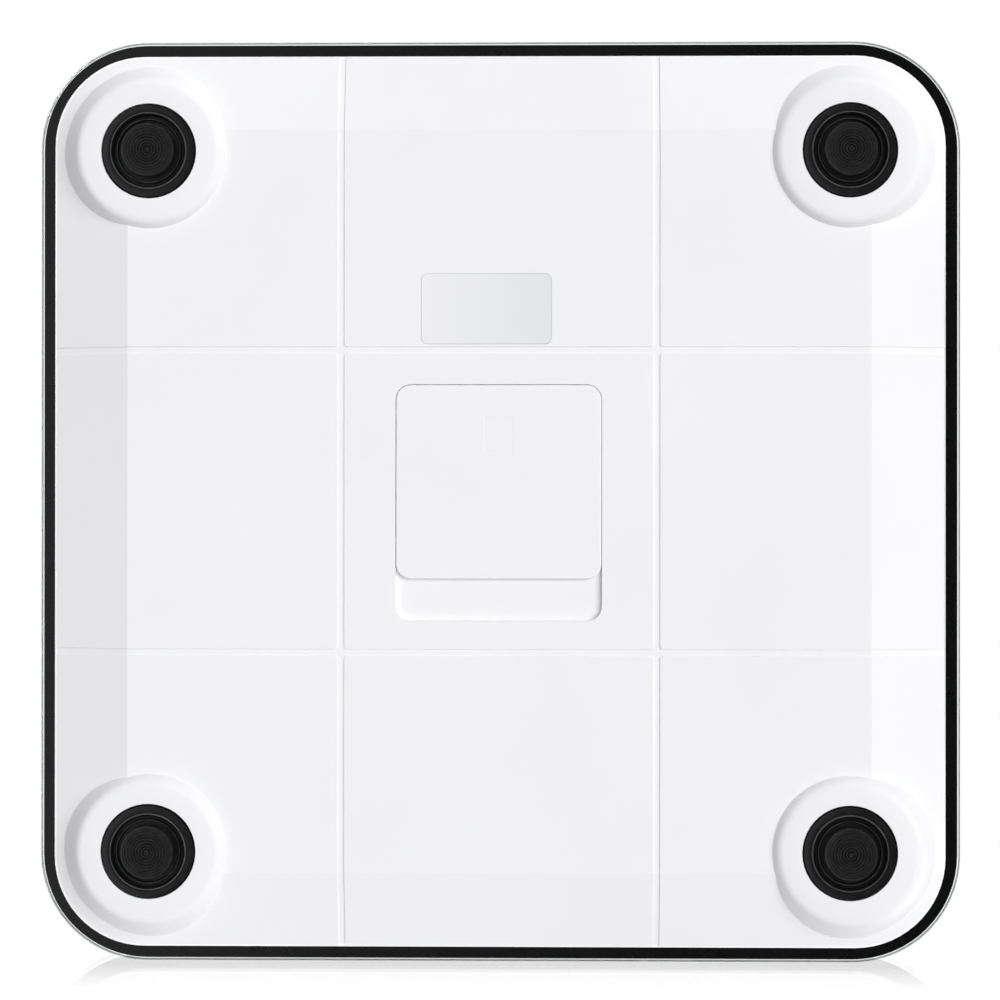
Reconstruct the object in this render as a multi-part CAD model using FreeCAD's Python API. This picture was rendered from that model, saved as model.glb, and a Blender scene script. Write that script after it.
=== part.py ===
import FreeCAD, Part
import math
import os

os.makedirs("parts", exist_ok=True)
V = FreeCAD.Vector
UP = V(0, 0, 1)

# Millimetres. The scale stands on its four pads at z = 0, with its display at the far end (+Y).

# Glass platform
glass_side = 300.0
glass_corner = 35.0
glass_thickness = 5.0
glass_bevel = 0.5

# Black enamel printed under the glass, with a window for the display
print_margin = 1.0
print_thickness = 0.05
window_length = 64.0
window_width = 30.0
window_corner = 2.0

# Bottom cover: flat field, sloping rim, upright side and a ledge for the tape
cover_inset = 5.75
cover_wall = 2.0
rim_run = 24.6
rim_drop = 7.5
edge_bevel = 0.8
ledge_width = 7.0
ledge_thickness = 2.0
tape_inset = 0.5
tape_width = 5.5
tape_thickness = 0.45

# Shallow channels moulded across the cover, two each way
channel_x = 50.8
channel_y = 48.65
channel_width = 2.2
channel_depth = 0.45
panel_corner = 1.0

# Stiffening ribs on the inside of the cover
rib_x = 56.0
rib_y = 63.0
rib_half_length = 76.0
rib_thickness = 1.2
rib_height = 2.6

# Feet and the bosses that they stand in
foot_margin = 37.5
foot_radius = 15.0
foot_clearance = 0.3
flange_stand_out = 3.2
flange_proud = 0.75
moat_radius = 11.2
moat_depth = 1.5
catch_count = 4
catch_radius = 17.0
catch_width = 8.0
catch_gap = 0.35
catch_thickness = 1.2
post_side = 6.0
post_height = 2.5
boss_radius = 22.8
boss_stand_out = 3.05
boss_spread = 0.6
boss_round = 3.4
boss_round_steps = 5
pad_radius = 8.4

# Load cells in their brackets
cell_side = 34.0
cell_corner_cut = 5.0
cell_thickness = 1.2
cell_slot_outer = 24.0
tongue_side = 15.0
neck_width = 8.0
gauge_length = 6.0
gauge_thickness = 0.8
bracket_lip = 1.5
bracket_fit = 0.1
bracket_bearing = 2.5
bracket_top = 2.0
bracket_corner_cut = 6.0
tab_width = 10.0
tab_reach = 1.2
tab_thickness = 0.8
notch_width = 2.4
notch_offset = 8.0

# AAA cells in a bay that opens downwards
battery_count = 4
battery_length = 44.5
battery_radius = 5.25
battery_pitch = 11.0
battery_clearance = 0.3
nub_radius = 1.9
nub_height = 0.9
bay_wall = 1.2
bay_skin = 1.2
plate_thickness = 0.4
plate_width = 9.6
plate_height = 9.0
spring_height = 3.6
spring_width = 5.0
spring_span = 7.0
spring_sheet = 0.3
spring_flat = 2.0

# Battery door with hooks that run in slots
door_width = 65.8
door_length = 62.1
door_y = 6.25
door_thickness = 1.8
door_corner = 4.7
door_bevel = 0.25
door_gap = 0.3
door_floor_gap = 0.2
door_travel = 13.5
hook_offset_near = -14.0
hook_offset_far = 17.0
hook_length = 6.0
hook_thickness = 1.2
hook_reach = 1.6
hook_play = 0.25
hook_bay_gap = 0.6

# Display, its frame and the circuit board
display_margin = 27.0
panel_length = 72.0
panel_width = 38.0
panel_thickness = 2.2
panel_fit = 0.2
frame_length = 84.0
frame_width = 46.0
frame_opening_length = 60.0
frame_opening_width = 26.0
zebra_length = 62.0
zebra_width = 2.0
zebra_height = 4.3
zebra_offset = 16.0
board_thickness = 1.6
clip_offset = 24.0
clip_width = 5.0
clip_thickness = 1.2
clip_reach = 0.8
chip_side = 10.0
chip_height = 1.0
radio_length = 18.0
radio_width = 12.0
radio_height = 1.4
capacitor_radius = 1.6
capacitor_length = 8.0
part_offset = 24.0

# Foot electrodes on the glass
electrode_side_margin = 35.0
electrode_end_margin = 67.0
electrode_length = 80.0
electrode_width = 50.0
electrode_corner = 20.0
electrode_thickness = 0.5
electrode_stud_shift = 10.0
electrode_stud_radius = 2.3
electrode_stud_gap = 0.3
terminal_side = 9.0
terminal_thickness = 1.2
tag_length = 7.0
tag_width = 2.4

# Leads to the board
lead_side = 1.2
lead_hole_gap = 0.3
lead_drop = 2.5
lead_lane_cell = 32.5
lead_lane_electrode = 6.0
lead_entry_far_electrode = 14.0
lead_entry_near_electrode = 8.0
lead_entry_cell = 2.0
lead_climb = 9.0
lead_bend = 3.0
lead_share = 0.45

# Bare sticker on the cover
label_length = 42.1
label_width = 22.8
label_thickness = 0.1
label_corner = 1.6
label_shift = 4.0
label_gap = 0.75

# Heights, worked out from the floor up
flange_z = flange_stand_out
moat_z = flange_z + moat_depth
boss_z = flange_z + flange_proud
field_z = boss_z + boss_stand_out
rim_z = field_z + rim_drop
floor_z = field_z + cover_wall
boss_floor_z = boss_z + cover_wall
catch_z = boss_floor_z + catch_gap
cup_top_z = catch_z + catch_thickness
cell_z = cup_top_z + post_height
cell_top_z = cell_z + cell_thickness
recess_z = field_z + door_thickness + door_floor_gap
recess_top_z = recess_z + cover_wall
battery_z = field_z + door_thickness + battery_clearance + battery_radius
bay_ceiling_z = battery_z + battery_radius + battery_clearance
cover_top_z = bay_ceiling_z + bay_skin
print_z = cover_top_z + tape_thickness
glass_z = print_z + print_thickness
glass_top_z = glass_z + glass_thickness
panel_z = print_z - panel_thickness
board_top_z = panel_z - zebra_height
board_z = board_top_z - board_thickness
board_middle_z = board_z + board_thickness / 2
terminal_z = print_z - terminal_thickness
lead_terminal_z = print_z - terminal_thickness / 2

# Plan sizes that follow from the sizes above
glass_half = glass_side / 2
cover_half = glass_half - cover_inset
cover_corner = glass_corner - cover_inset
corner_centre = cover_half - cover_corner
field_half = cover_half - rim_run
rim_angle = math.atan2(rim_drop, rim_run)
foot_at = glass_half - foot_margin
cell_half = cell_side / 2
bracket_side = cell_side + 2 * bracket_fit + 2 * bracket_lip
bracket_half = bracket_side / 2
frame_half = frame_length / 2
display_y = glass_half - display_margin - frame_width / 2
electrode_x = glass_half - electrode_side_margin - electrode_length / 2
electrode_y = glass_half - electrode_end_margin - electrode_width / 2
bay_half = (battery_count - 1) * battery_pitch / 2 + battery_radius + battery_clearance
bay_length = battery_length + spring_height + 2 * plate_thickness
bay_near = door_y - bay_length / 2
bay_far = door_y + bay_length / 2
door_near = door_y - door_length / 2
recess_width = door_width + 2 * door_gap
recess_length = door_length + door_travel + 2 * door_gap
recess_y = door_y - door_travel / 2
hook_inner = bay_half + bay_wall + hook_bay_gap
hook_outer = hook_inner + hook_thickness
stud_x = electrode_x - electrode_stud_shift
label_y = channel_y + channel_width / 2 + label_gap + label_width / 2

corners = {
    "near_left": (-1, -1),
    "near_right": (1, -1),
    "far_left": (-1, 1),
    "far_right": (1, 1),
}


def outline(width, depth, corner, x, y, z):
    """Closed wire of a rectangle with round corners, centred on x, y."""
    a = width / 2
    b = depth / 2
    c = corner * (1 - math.sqrt(0.5))
    edges = []
    turns = [(1, 1), (-1, 1), (-1, -1), (1, -1)]
    for (sx, sy), (tx, ty) in zip(turns, turns[1:] + turns[:1]):
        on_side = V(x + sx * a, y + sy * (b - corner), z)
        middle = V(x + sx * (a - c), y + sy * (b - c), z)
        on_end = V(x + sx * (a - corner), y + sy * b, z)
        first, last = (on_side, on_end) if sx == sy else (on_end, on_side)
        edges.append(Part.Arc(first, middle, last).toShape())
        after_side = V(x + tx * a, y + ty * (b - corner), z)
        after_end = V(x + tx * (a - corner), y + ty * b, z)
        edges.append(Part.makeLine(last, after_side if tx == ty else after_end))
    return Part.Wire(edges)


def slab(width, depth, height, corner, x, y, z):
    """Upright block with round corners, centred on x, y, with its lower face at z."""
    return Part.Face(outline(width, depth, corner, x, y, z)).extrude(UP * height)


def cut_slab(side, height, cut, x, y, z):
    """Upright square block with its four corners cut off, centred on x, y, with its lower face at z."""
    half = side / 2
    short = half - cut
    turns = [(1, 1), (-1, 1), (-1, -1), (1, -1)]
    points = []
    for sx, sy in turns:
        pair = [V(x + sx * half, y + sy * short, z), V(x + sx * short, y + sy * half, z)]
        points += pair if sx == sy else pair[::-1]
    return Part.Face(Part.makePolygon(points + points[:1])).extrude(UP * height)


def block(x0, x1, y0, y1, z0, z1):
    """Plain block between two corners, in either order."""
    low = V(min(x0, x1), min(y0, y1), min(z0, z1))
    return Part.makeBox(abs(x1 - x0), abs(y1 - y0), abs(z1 - z0), low)


def rod(radius, height, x, y, z, direction=UP):
    return Part.makeCylinder(radius, height, V(x, y, z), direction)


def turned(profile, x, y):
    """Solid of revolution about the upright line at x, y, from (radius, height) points."""
    wire = Part.makePolygon([V(r, 0, z) for r, z in profile + profile[:1]])
    solid = Part.Face(wire).revolve(V(0, 0, 0), UP, 360)
    solid.translate(V(x, y, 0))
    return solid


def flat_edges(shape, z):
    """Edges that lie wholly at height z."""
    near = 1e-4
    return [e for e in shape.Edges if abs(e.BoundBox.ZMin - z) < near and abs(e.BoundBox.ZMax - z) < near]


def tangent_arc(before, at, after):
    """Arc of the leads' bend that rounds the corner at a point, smaller where a run is too short for it."""
    back = before - at
    ahead = after - at
    longest = lead_share * min(back.Length, ahead.Length)
    back.normalize()
    ahead.normalize()
    half_turn = (math.pi - back.getAngle(ahead)) / 2
    reach = min(lead_bend * math.tan(half_turn), longest)
    bend = reach / math.tan(half_turn)
    crown = at + (back + ahead).normalize() * (bend / math.cos(half_turn) - bend)
    return Part.Arc(at + back * reach, crown, at + ahead * reach).toShape()


def rounded_path(points, arcs):
    """Edges of straight runs that join the arcs, one for each inner point."""
    edges = []
    last = points[0]
    for arc in arcs:
        edges.append(Part.makeLine(last, arc.firstVertex().Point))
        edges.append(arc)
        last = arc.lastVertex().Point
    edges.append(Part.makeLine(last, points[-1]))
    return edges


def lead(points):
    """Square-sectioned ribbon along straight runs joined by tangent arcs."""
    arcs = [tangent_arc(*trio) for trio in zip(points, points[1:], points[2:])]
    start = points[0]
    across = (points[1] - start).cross(UP).normalize() * (lead_side / 2)
    rise = UP * (lead_side / 2)
    ring = [start + across + rise, start - across + rise, start - across - rise, start + across - rise]
    section = Part.makePolygon(ring + ring[:1])
    return Part.Wire(rounded_path(points, arcs)).makePipeShell([section], True, False)


def save(name, shape):
    shape.exportStep("parts/" + name + ".step")


def stud_holes(height, z):
    """The four holes that the electrodes' studs pass through."""
    radius = electrode_stud_radius + electrode_stud_gap
    holes = [rod(radius, height, sx * stud_x, sy * electrode_y, z) for sx, sy in corners.values()]
    return Part.makeCompound(holes)


def boss_radius_at(z):
    """Outer radius of a foot boss at height z."""
    return boss_radius + boss_spread * (z - boss_z)


def glass_platform():
    plate = slab(glass_side, glass_side, glass_thickness, glass_corner, 0, 0, glass_z)
    plate = plate.makeChamfer(glass_bevel, flat_edges(plate, glass_z) + flat_edges(plate, glass_top_z))
    return plate.cut(stud_holes(glass_thickness, glass_z))


def back_print():
    side = glass_side - 2 * print_margin
    film = slab(side, side, print_thickness, glass_corner - print_margin, 0, 0, print_z)
    window = slab(window_length, window_width, print_thickness, window_corner, 0, display_y, print_z)
    return film.cut(window).cut(stud_holes(print_thickness, print_z))


def mounting_tape():
    outer = 2 * (cover_half - tape_inset)
    inner = outer - 2 * tape_width
    corner = cover_corner - tape_inset
    ring = slab(outer, outer, tape_thickness, corner, 0, 0, cover_top_z)
    return ring.cut(slab(inner, inner, tape_thickness, corner - tape_width, 0, 0, cover_top_z))


def side_profile(field, side, low_z, slope_end_z, top_z, bevel):
    """Half section from the middle out along the floor, up the slope and up the side."""
    points = [
        V(0, 0, low_z),
        V(field, 0, low_z),
        V(side - bevel * math.cos(rim_angle), 0, slope_end_z - bevel * math.sin(rim_angle)),
        V(side, 0, slope_end_z + bevel),
        V(side, 0, top_z),
        V(0, 0, top_z),
    ]
    return Part.Face(Part.makePolygon(points + points[:1]))


def cover_block(inset, low_z, top_z, bevel):
    """Half section swept round the plan: the cover's outer body, or its hollow when inset is the wall."""
    lean = inset * math.tan(rim_angle / 2)
    field = field_half - lean
    side = cover_half - inset
    slope_end_z = low_z + (side - field) * math.tan(rim_angle)
    flank = side_profile(field, side, low_z, slope_end_z, top_z, bevel).extrude(V(0, 2 * corner_centre, 0))
    flank.translate(V(0, -corner_centre, 0))
    turn = side_profile(field - corner_centre, side - corner_centre, low_z, slope_end_z, top_z, bevel)
    pieces = []
    for i in range(4):
        piece = flank.copy()
        piece.rotate(V(0, 0, 0), UP, 90 * i)
        pieces.append(piece)
    for sx, sy in corners.values():
        post = turn.revolve(V(0, 0, 0), UP, 360)
        post.translate(V(sx * corner_centre, sy * corner_centre, 0))
        pieces.append(post)
    return pieces[0].multiFuse(pieces[1:]).removeSplitter()


def foot_boss(sx, sy):
    """Half section swept round the foot: flat face, edge rounded in short tapers, wall down to the rim."""
    turn = math.atan(1 / boss_spread)
    step = turn / boss_round_steps
    middle = boss_radius - boss_round * math.tan(turn / 2)
    reach = boss_round / math.cos(step / 2)
    points = [V(0, 0, boss_z)]
    for i in range(boss_round_steps):
        angle = (i + 0.5) * step
        points.append(V(middle + reach * math.sin(angle), 0, boss_z + boss_round - reach * math.cos(angle)))
    points.append(V(boss_radius_at(rim_z), 0, rim_z))
    points.append(V(0, 0, rim_z))
    section = Part.Face(Part.makePolygon(points + points[:1]))
    boss = section.revolve(V(0, 0, 0), UP, 360)
    boss.rotate(V(0, 0, 0), UP, 90 + sx * 90)
    boss.translate(V(sx * foot_at, sy * foot_at, 0))
    return boss


def boss_hollow(sx, sy):
    """Inside of a boss, one wall in from its cone, and the round hole for the foot."""
    lean = cover_wall * math.hypot(1, boss_spread)
    top_z = rim_z + cover_wall
    low = boss_radius_at(boss_floor_z) - lean
    high = boss_radius_at(top_z) - lean
    x = sx * foot_at
    y = sy * foot_at
    inside = Part.makeCone(low, high, top_z - boss_floor_z, V(x, y, boss_floor_z))
    hole = rod(foot_radius + foot_clearance, boss_floor_z - boss_z, x, y, boss_z)
    return inside.fuse(hole)


def channel_cutter(body):
    """Grid of bars under the cover, less the cover's own body raised by the channel depth."""
    reach = glass_side
    depth_z = rim_z + channel_depth
    bars = []
    for side in (-1, 1):
        x = side * channel_x
        y = side * channel_y
        bars.append(block(x - channel_width / 2, x + channel_width / 2, -reach, reach, 0, depth_z))
        bars.append(block(-reach, reach, y - channel_width / 2, y + channel_width / 2, 0, depth_z))
    grid = bars[0].multiFuse(bars[1:]).removeSplitter()
    inner_corners = []
    for edge in grid.Edges:
        box = edge.BoundBox
        upright = box.ZLength > depth_z / 2
        if upright and abs(box.XMin) < reach / 2 and abs(box.YMin) < reach / 2:
            inner_corners.append(edge)
    grid = grid.makeFillet(panel_corner, inner_corners)
    raised = body.copy()
    raised.translate(UP * channel_depth)
    return grid.cut(raised)


def inner_ribs():
    reach = rib_half_length
    half = rib_thickness / 2
    top_z = floor_z + rib_height
    ribs = []
    for side in (-1, 1):
        x = side * rib_x
        y = side * rib_y
        ribs.append(block(x - half, x + half, -reach, reach, floor_z, top_z))
        ribs.append(block(-reach, reach, y - half, y + half, floor_z, top_z))
    return ribs


def cell_columns():
    """X of each battery's axis, and whether its nub points to the far end."""
    middle = (battery_count - 1) / 2
    return [((i - middle) * battery_pitch, i % 2 == 0) for i in range(battery_count)]


def battery_bay():
    """Walls and ceiling round the cells, and the space inside."""
    width = 2 * (bay_half + bay_wall)
    length = bay_length + 2 * bay_wall
    shell = slab(width, length, cover_top_z - recess_z, bay_wall, 0, door_y, recess_z)
    hollow = block(-bay_half, bay_half, bay_near, bay_far, recess_z, bay_ceiling_z)
    return shell, hollow


def hook_places():
    return [(side, door_y + offset) for side in (-1, 1) for offset in (hook_offset_near, hook_offset_far)]


def hook_slots():
    """Slots through the recess floor: narrow along the run, wide where the hooks lift out."""
    cutters = []
    half = hook_length / 2 + door_gap
    for side, y in hook_places():
        inner = side * (hook_inner - door_gap)
        narrow = side * (hook_outer + door_gap)
        wide = side * (hook_outer + hook_reach + door_gap)
        near = y - door_travel - half
        cutters.append(block(inner, narrow, near, y + half, recess_z, recess_top_z))
        cutters.append(block(inner, wide, near, near + 2 * half, recess_z, recess_top_z))
    return cutters


def bottom_cover():
    body = cover_block(0, field_z, cover_top_z, edge_bevel)
    cover = body.multiFuse([foot_boss(sx, sy) for sx, sy in corners.values()])

    ledge_z = cover_top_z - ledge_thickness
    hollow = cover_block(cover_wall, floor_z, ledge_z, edge_bevel)
    opening = 2 * (cover_half - ledge_width)
    mouth = slab(opening, opening, ledge_thickness, cover_corner - ledge_width, 0, 0, ledge_z)
    cover = cover.cut(hollow.multiFuse([mouth] + [boss_hollow(sx, sy) for sx, sy in corners.values()]))
    cover = cover.cut(channel_cutter(body))

    pan_width = recess_width + 2 * cover_wall
    pan_length = recess_length + 2 * cover_wall
    recess_corner = door_corner + door_gap
    pan_corner = recess_corner + cover_wall
    pan = slab(pan_width, pan_length, recess_top_z - field_z, pan_corner, 0, recess_y, field_z)
    recess = slab(recess_width, recess_length, recess_z - field_z, recess_corner, 0, recess_y, field_z)
    shell, bay_hollow = battery_bay()
    cover = cover.multiFuse([pan, shell] + inner_ribs())
    cutters = [recess, bay_hollow] + hook_slots()
    hole = lead_side / 2 + lead_hole_gap
    lead_z = battery_z - lead_drop
    for x in (cell_columns()[0][0], cell_columns()[-1][0]):
        cutters.append(block(x - hole, x + hole, bay_far, bay_far + bay_wall, lead_z - hole, lead_z + hole))
    return cover.cut(cutters[0].multiFuse(cutters[1:])).removeSplitter()


def battery_door():
    plate = slab(door_width, door_length, door_thickness, door_corner, 0, door_y, field_z)
    plate = plate.makeChamfer(door_bevel, flat_edges(plate, field_z))
    inside_z = field_z + door_thickness
    foot_low_z = recess_top_z + hook_play
    foot_top_z = foot_low_z + hook_thickness
    hooks = []
    for side, y in hook_places():
        near = y - hook_length / 2
        far = y + hook_length / 2
        inner = side * hook_inner
        outer = side * hook_outer
        hooks.append(block(inner, outer, near, far, inside_z, foot_top_z))
        hooks.append(block(outer, outer + side * hook_reach, near, far, foot_low_z, foot_top_z))
    return plate.multiFuse(hooks).removeSplitter()


def foot_cup(sx, sy):
    """Cup that slides in the boss, with catches above the boss's wall and a post under the load cell."""
    x = sx * foot_at
    y = sy * foot_at
    profile = [
        (0, moat_z),
        (moat_radius, moat_z),
        (moat_radius, flange_z),
        (foot_radius, flange_z),
        (foot_radius, cup_top_z),
        (0, cup_top_z),
    ]
    cup = turned(profile, x, y)
    catch_reach = block(0, catch_radius, -catch_width / 2, catch_width / 2, catch_z, cup_top_z)
    half = post_side / 2
    extras = [block(x - half, x + half, y - half, y + half, cup_top_z, cell_z)]
    for i in range(catch_count):
        catch = catch_reach.copy()
        catch.rotate(V(0, 0, 0), UP, i * 360 / catch_count)
        catch.translate(V(x, y, 0))
        extras.append(catch)
    return cup.multiFuse(extras).removeSplitter()


def foot_pad(sx, sy):
    return rod(pad_radius, moat_z, sx * foot_at, sy * foot_at, 0)


def load_cell(sx, sy):
    """Steel plate whose middle tongue hangs on one neck, with the strain gauge on the neck."""
    x = sx * foot_at
    y = sy * foot_at
    plate = cut_slab(cell_side, cell_thickness, cell_corner_cut, x, y, cell_z)
    slot = cut_slab(cell_slot_outer, cell_thickness, 0, x, y, cell_z)
    slot = slot.cut(cut_slab(tongue_side, cell_thickness, 0, x, y, cell_z))
    neck_near = y + sy * tongue_side / 2
    neck_far = y + sy * cell_slot_outer / 2
    slot = slot.cut(block(x - neck_width / 2, x + neck_width / 2, neck_near, neck_far, cell_z, cell_top_z))
    half = gauge_length / 2
    gauge = block(x - half, x + half, neck_near, neck_far, cell_top_z, cell_top_z + gauge_thickness)
    return Part.makeCompound([plate.cut(slot), gauge])


def load_bracket(sx, sy):
    """Cap bonded under the print that carries the load cell's outer frame."""
    x = sx * foot_at
    y = sy * foot_at
    opening = cell_side - 2 * bracket_bearing
    pocket = cell_side + 2 * bracket_fit
    cap = cut_slab(bracket_side, print_z - cell_z, bracket_corner_cut, x, y, cell_z)
    cap = cap.cut(cut_slab(pocket, cell_thickness, cell_corner_cut, x, y, cell_z))
    cap = cap.cut(cut_slab(opening, print_z - bracket_top - cell_top_z, cell_corner_cut, x, y, cell_top_z))
    low_z = cell_z - bracket_fit - tab_thickness
    high_z = cell_z - bracket_fit
    inner = cell_half - tab_reach
    half = tab_width / 2
    tabs = []
    for side in (-1, 1):
        edge = side * bracket_half
        wall = side * pocket / 2
        tabs.append(block(x + side * inner, x + edge, y - half, y + half, low_z, high_z))
        tabs.append(block(x - half, x + half, y + side * inner, y + edge, low_z, high_z))
        tabs.append(block(x + wall, x + edge, y - half, y + half, low_z, cell_top_z))
        tabs.append(block(x - half, x + half, y + wall, y + edge, low_z, cell_top_z))
    notch_y = y - sy * notch_offset
    notch_half = notch_width / 2
    notch = block(x - sx * cell_half, x - sx * bracket_half, notch_y - notch_half, notch_y + notch_half,
                  cell_z, cell_top_z)
    return cap.multiFuse(tabs).cut(notch).removeSplitter()


def electrode(sx, sy):
    x = sx * electrode_x
    y = sy * electrode_y
    corner = electrode_corner
    plate = slab(electrode_length, electrode_width, electrode_thickness, corner, x, y, glass_top_z)
    stud = rod(electrode_stud_radius, glass_top_z - print_z, sx * stud_x, y, print_z)
    return plate.fuse(stud).removeSplitter()


def electrode_terminal(sx, sy):
    """Plate soldered to the stud's end, with a tag for the lead."""
    x = sx * stud_x
    y = sy * electrode_y
    plate = cut_slab(terminal_side, terminal_thickness, 0, x, y, terminal_z)
    tag = block(x - tag_width / 2, x + tag_width / 2, y, y + tag_length, terminal_z, print_z)
    return plate.fuse(tag).removeSplitter()


def display_panel():
    x = panel_length / 2
    y = panel_width / 2
    return block(-x, x, display_y - y, display_y + y, panel_z, print_z)


def display_frame():
    """Frame bonded under the print: a pocket for the panel, slots for the strips, clips round the board."""
    half_width = frame_width / 2
    near = display_y - half_width
    far = display_y + half_width
    pocket_x = panel_length / 2 + panel_fit
    pocket_y = panel_width / 2 + panel_fit
    opening_x = frame_opening_length / 2
    opening_y = frame_opening_width / 2
    cutters = [
        block(-pocket_x, pocket_x, display_y - pocket_y, display_y + pocket_y, panel_z, print_z),
        block(-opening_x, opening_x, display_y - opening_y, display_y + opening_y, board_top_z, panel_z),
    ]
    for side in (-1, 1):
        y = display_y + side * zebra_offset
        slot_x = zebra_length / 2 + panel_fit
        slot_y = zebra_width / 2 + panel_fit
        cutters.append(block(-slot_x, slot_x, y - slot_y, y + slot_y, board_top_z, panel_z))
    frame = block(-frame_half, frame_half, near, far, board_top_z, print_z)
    frame = frame.cut(cutters[0].multiFuse(cutters[1:]))
    legs = []
    for side, edge in ((-1, near), (1, far)):
        outer = edge + side * clip_thickness
        inner = edge - side * clip_reach
        low_z = board_z - clip_thickness
        for x in (-clip_offset, clip_offset):
            low_x = x - clip_width / 2
            high_x = x + clip_width / 2
            legs.append(block(low_x, high_x, edge, outer, low_z, print_z))
            legs.append(block(low_x, high_x, inner, outer, low_z, board_z))
    return frame.multiFuse(legs).removeSplitter()


def zebra_strips():
    strips = []
    for side in (-1, 1):
        y = display_y + side * zebra_offset
        half = zebra_width / 2
        strips.append(block(-zebra_length / 2, zebra_length / 2, y - half, y + half, board_top_z,
                            board_top_z + zebra_height))
    return Part.makeCompound(strips)


def circuit_board():
    near = display_y - frame_width / 2
    return block(-frame_half, frame_half, near, near + frame_width, board_z, board_top_z)


def board_parts():
    """Sealed chip, radio module and capacitor under the board."""
    chip = cut_slab(chip_side, chip_height, 0, 0, display_y, board_z - chip_height)
    low_x = part_offset - radio_length / 2
    low_y = display_y - radio_width / 2
    radio = block(low_x, low_x + radio_length, low_y, low_y + radio_width, board_z - radio_height, board_z)
    capacitor = rod(capacitor_radius, capacitor_length, -part_offset, display_y - capacitor_length / 2,
                    board_z - capacitor_radius, V(0, 1, 0))
    return Part.makeCompound([chip, radio, capacitor])


def battery(x, nub_far):
    """AAA cell lying along Y, with its nub on the contact plate and its base on the spring."""
    can = battery_length - nub_height
    profile = [
        (0, 0),
        (battery_radius, 0),
        (battery_radius, can),
        (nub_radius, can),
        (nub_radius, battery_length),
        (0, battery_length),
    ]
    cell = turned(profile, 0, 0)
    turn = -90 if nub_far else 90
    cell.rotate(V(0, 0, 0), V(1, 0, 0), turn)
    base = bay_near + plate_thickness + spring_height
    if not nub_far:
        base = bay_far - plate_thickness - spring_height
    cell.translate(V(x, base, battery_z))
    return cell


def battery_plates():
    """Single plates at the two far outer cells, double plates that join neighbours elsewhere."""
    columns = [x for x, _ in cell_columns()]
    half = plate_width / 2
    low_z = battery_z - plate_height / 2
    high_z = battery_z + plate_height / 2
    far = bay_far - plate_thickness
    plates = [block(x - half, x + half, far, bay_far, low_z, high_z) for x in (columns[0], columns[-1])]
    for first, second in zip(columns[1:-1:2], columns[2::2]):
        plates.append(block(first - half, second + half, far, bay_far, low_z, high_z))
    near = bay_near + plate_thickness
    for first, second in zip(columns[::2], columns[1::2]):
        plates.append(block(first - half, second + half, bay_near, near, low_z, high_z))
    return Part.makeCompound(plates)


def battery_spring(x, nub_far):
    """Bowed leaf that stands on its plate and presses on the battery's base."""
    crest = spring_height
    inner_crest = crest - spring_sheet
    half = spring_span / 2
    flat = spring_flat / 2
    inner = half - spring_sheet
    bow = [
        V(0, 0, -half),
        V(0, crest, -flat),
        V(0, crest, flat),
        V(0, 0, half),
        V(0, 0, inner),
        V(0, inner_crest, flat - spring_sheet),
        V(0, inner_crest, spring_sheet - flat),
        V(0, 0, -inner),
    ]
    leaf = Part.Face(Part.makePolygon(bow + bow[:1])).extrude(V(spring_width, 0, 0))
    leaf.translate(V(-spring_width / 2, 0, 0))
    if not nub_far:
        leaf.rotate(V(0, 0, 0), UP, 180)
    base = bay_near + plate_thickness if nub_far else bay_far - plate_thickness
    leaf.translate(V(x, base, battery_z))
    return leaf


def cell_lead(sx, sy):
    """From the load cell's edge out through the bracket's notch to the board."""
    start = foot_at - cell_half
    lane = foot_at - lead_lane_cell
    y = sy * (foot_at - notch_offset)
    z = cell_z + cell_thickness / 2
    points = [V(sx * start, y, z), V(sx * (start - lead_climb), y, z)]
    if sy > 0:
        points.append(V(sx * (lane - lead_climb), y, board_middle_z))
        points.append(V(sx * frame_half, y, board_middle_z))
    else:
        entry = display_y - lead_entry_cell
        points.append(V(sx * lane, y + lead_climb, board_middle_z))
        points.append(V(sx * lane, entry, board_middle_z))
        points.append(V(sx * frame_half, entry, board_middle_z))
    return lead(points)


def electrode_lead(sx, sy):
    """From the terminal's tag down to the board's edge."""
    start = sy * electrode_y + tag_length
    lane = stud_x if sy > 0 else stud_x + lead_lane_electrode
    entry = display_y - (lead_entry_far_electrode if sy > 0 else lead_entry_near_electrode)
    fall = lead_climb - lead_drop
    points = [
        V(sx * stud_x, start, lead_terminal_z),
        V(sx * stud_x, start + fall, lead_terminal_z),
        V(sx * lane, start + 2 * fall, board_middle_z),
        V(sx * lane, entry, board_middle_z),
        V(sx * frame_half, entry, board_middle_z),
    ]
    return lead(points)


def battery_lead(x):
    """From an outer contact plate through the bay's end wall to the board's near edge."""
    z = battery_z - lead_drop
    end = display_y - frame_width / 2
    points = [
        V(x, bay_far, z),
        V(x, bay_far + lead_climb, z),
        V(x, end - lead_climb, board_middle_z),
        V(x, end, board_middle_z),
    ]
    return lead(points)


def label_sticker():
    z = field_z - label_thickness
    return slab(label_length, label_width, label_thickness, label_corner, label_shift, label_y, z)


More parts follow.
